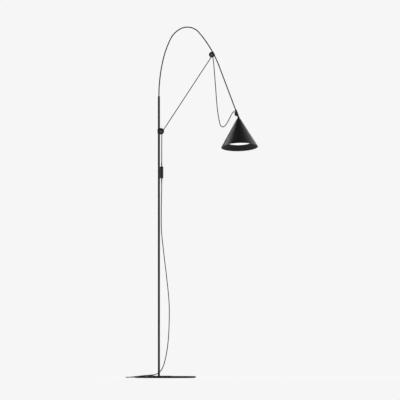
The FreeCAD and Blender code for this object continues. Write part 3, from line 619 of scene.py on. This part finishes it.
def make_tie(slots):
    """A hook-and-loop strap round the coil's five strands, its end lapped over its start."""
    thick, half_width = 0.0007, 0.004
    left = COIL_CENTRE.x - RING_RADII[0]
    inner = COIL_CENTRE.x - RING_RADII[2]
    middle = COIL_CENTRE.x - RING_RADII[1]
    low, high = LAYER_HEIGHTS
    strands = [(left, low), (inner, low), (middle, high), (left, high)]
    line = belt(strands, CORD_DIAMETER / 2)
    points, faces = strip(line, 0.0, thick, COIL_CENTRE.y, half_width, True)
    lap_start, lap_end = 14, 34
    lap = line[lap_start:lap_end]
    lapped, lap_faces = strip(lap, thick, 2 * thick, COIL_CENTRE.y, half_width, False)
    faces += [tuple(corner + len(points) for corner in face) for face in lap_faces]
    points += lapped
    tie = piece("tie_strap", meshed("tie_strap", points, faces, False), "tie_band", slots, "base")
    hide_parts("coil_tie")
    rounded(tie, width=0.00015, segments=2)


def rounded(made, width, segments):
    """Breaks an object's sharp edges."""
    bevel = made.modifiers.new("edges", "BEVEL")
    bevel.width = width
    bevel.segments = segments
    bevel.limit_method = "ANGLE"
    bevel.harden_normals = False


def make_plug(slots):
    """A flat two-pin plug body: full width at its face, waisted to the boot, with finger grooves."""
    low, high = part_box("plug_body")
    centre_y, centre_z = (low.y + high.y) / 2, (low.z + high.z) / 2
    length = high.x - low.x
    half_width, half_thick = (high.y - low.y) / 2, (high.z - low.z) / 2
    boot_half, boot_flatness = 0.0062, 0.8
    edge = 0.0009
    stations, around = 72, 56
    groove_depth, groove_count = 0.0006, 5
    grip_start, grip_end = 0.42, 0.80
    waist_start, waist_length = 0.25, 0.75
    thinning_start, thinning_length = 0.55, 0.45
    squareness, squareness_lost = 4.5, 2.2
    points = []
    for station in range(stations + 1):
        share = station / stations
        waist = smoothstep((share - waist_start) / waist_length)
        width = half_width + (boot_half - half_width) * waist
        thinning = smoothstep((share - thinning_start) / thinning_length)
        thick = half_thick + (boot_half * boot_flatness - half_thick) * thinning
        for rim_gap in (share * length, (1 - share) * length):
            if rim_gap < edge:
                pull = edge - math.sqrt(max(0.0, edge ** 2 - (edge - rim_gap) ** 2))
                width -= pull
                thick -= pull
        in_grip = (share - grip_start) / (grip_end - grip_start)
        if 0 < in_grip < 1:
            thick -= groove_depth * (0.5 - 0.5 * math.cos(2 * math.pi * groove_count * in_grip))
        power = 2 / (squareness - squareness_lost * waist)
        for side in range(around):
            turn = 2 * math.pi * side / around
            cosine, sine = math.cos(turn), math.sin(turn)
            y = math.copysign(abs(cosine) ** power, cosine) * width
            z = math.copysign(abs(sine) ** power, sine) * thick
            points.append((low.x + share * length, centre_y + y, centre_z + z))
    mesh = meshed("plug_shell", points, ring_faces(stations + 1, around))
    body = piece("plug_shell", mesh, "plug_plastic", slots, "base")
    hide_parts("plug_body")


def lathe(name, profile, origin, axis, sides=64, lobes=0, lobe_depth=0.0):
    """A body turned round axis: profile holds radius and distance from origin, and both ends are closed."""
    turning = Vector(axis).to_track_quat("Z", "Y")
    points = []
    for radius, distance in profile:
        for side in range(sides):
            turn = 2 * math.pi * side / sides
            reach = radius - lobe_depth * (0.5 - 0.5 * math.cos(lobes * turn))
            spot = Vector((math.cos(turn) * reach, math.sin(turn) * reach, distance))
            points.append(origin + turning @ spot)
    mesh = meshed(name, points, ring_faces(len(profile), sides))
    mesh.set_sharp_from_angle(angle=SHARP_ANGLE)
    return mesh


def make_knob_trim(slots):
    """A fluted grip band and a turned metal cap on each clamp knob."""
    cap = [(0.0027, -0.0003), (0.0027, 0.0002), (0.0025, 0.0004), (0.0021, 0.0006), (0.0019, 0.0004),
           (0.0017, 0.0004), (0.0014, 0.0007), (0.0009, 0.0008), (0.0007, 0.0007), (0.0007, 0.0002)]
    for knob, body in (("pole", "pole_knob"), ("rod", "rod_knob")):
        low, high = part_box(knob + "_clamp_knob")
        face = Vector(((low.x + high.x) / 2, low.y, (low.z + high.z) / 2))
        piece(knob + "_knob_cap", lathe(knob + "_knob_cap", cap, face, (0, -1, 0)), "steel", slots, body)
        radius = (high.x - low.x) / 2
        start, end = 0.0019, high.y - low.y - 0.0007
        band = [(radius - 0.0006, start), (radius + 0.0002, start), (radius + 0.0005, start + 0.0003),
                (radius + 0.0005, end - 0.0003), (radius + 0.0002, end), (radius - 0.0006, end)]
        grip = lathe(knob + "_knob_grip", band, face, (0, 1, 0), sides=192, lobes=24, lobe_depth=0.0004)
        piece(knob + "_knob_grip", grip, "knob_plastic", slots, body)


def make_pin_sleeves(slots):
    """The insulating sleeves on the root half of the plug's pins."""
    low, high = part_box("plug_pins")
    radius = (high.z - low.z) / 2
    sleeve = [(radius - 0.0002, -0.0004), (radius + 0.00014, -0.0004), (radius + 0.00014, 0.0093),
              (radius + 0.00004, 0.0096), (radius - 0.0003, 0.0096)]
    for name, y in (("pin_sleeve_near", low.y + radius), ("pin_sleeve_far", high.y - radius)):
        root = Vector((high.x, y, (low.z + high.z) / 2))
        piece(name, lathe(name, sleeve, root, (-1, 0, 0), sides=40), "plug_plastic", slots, "base")


camera()
studio()
floor()
SLOTS = finishes()
dress_nodes(SLOTS)
make_tie(SLOTS)
make_plug(SLOTS)
make_pin_sleeves(SLOTS)
make_knob_trim(SLOTS)
make_cords(SLOTS)
